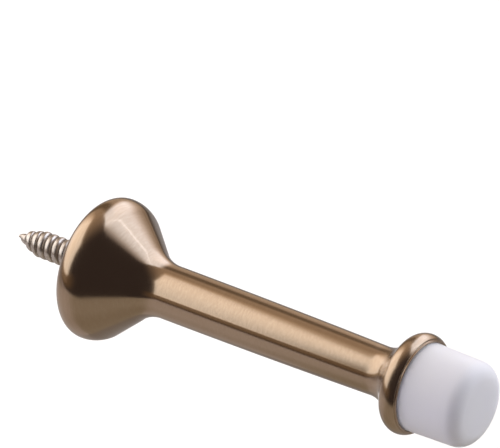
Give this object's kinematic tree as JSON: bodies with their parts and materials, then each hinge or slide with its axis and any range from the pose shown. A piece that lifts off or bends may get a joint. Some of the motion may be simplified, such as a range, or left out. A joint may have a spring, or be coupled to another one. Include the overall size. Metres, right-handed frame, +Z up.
{
  "type": "rigid door stop",
  "caption": "Rigid wall-mounted door stop: a flared satin bronze post with a ringed end, a white rubber tip and a wood screw at its back.",
  "frame": {"origin": "centre of the base's back face, in the plane of the wall", "axes": "+Y runs into the wall along the screw, the stop stands out along -Y, and +Z is up"},
  "size_m": [0.0254, 0.0963, 0.0254],
  "materials": {
    "bronze_finish": "satin champagne bronze, finely brushed round the axis",
    "white_rubber": "matte white",
    "screw_steel": "bright zinc plated"
  },
  "bodies": {
    "root": {"post": "bronze_finish", "rubber_tip": "white_rubber", "wall_screw": "screw_steel"}
  },
  "joints": []
}
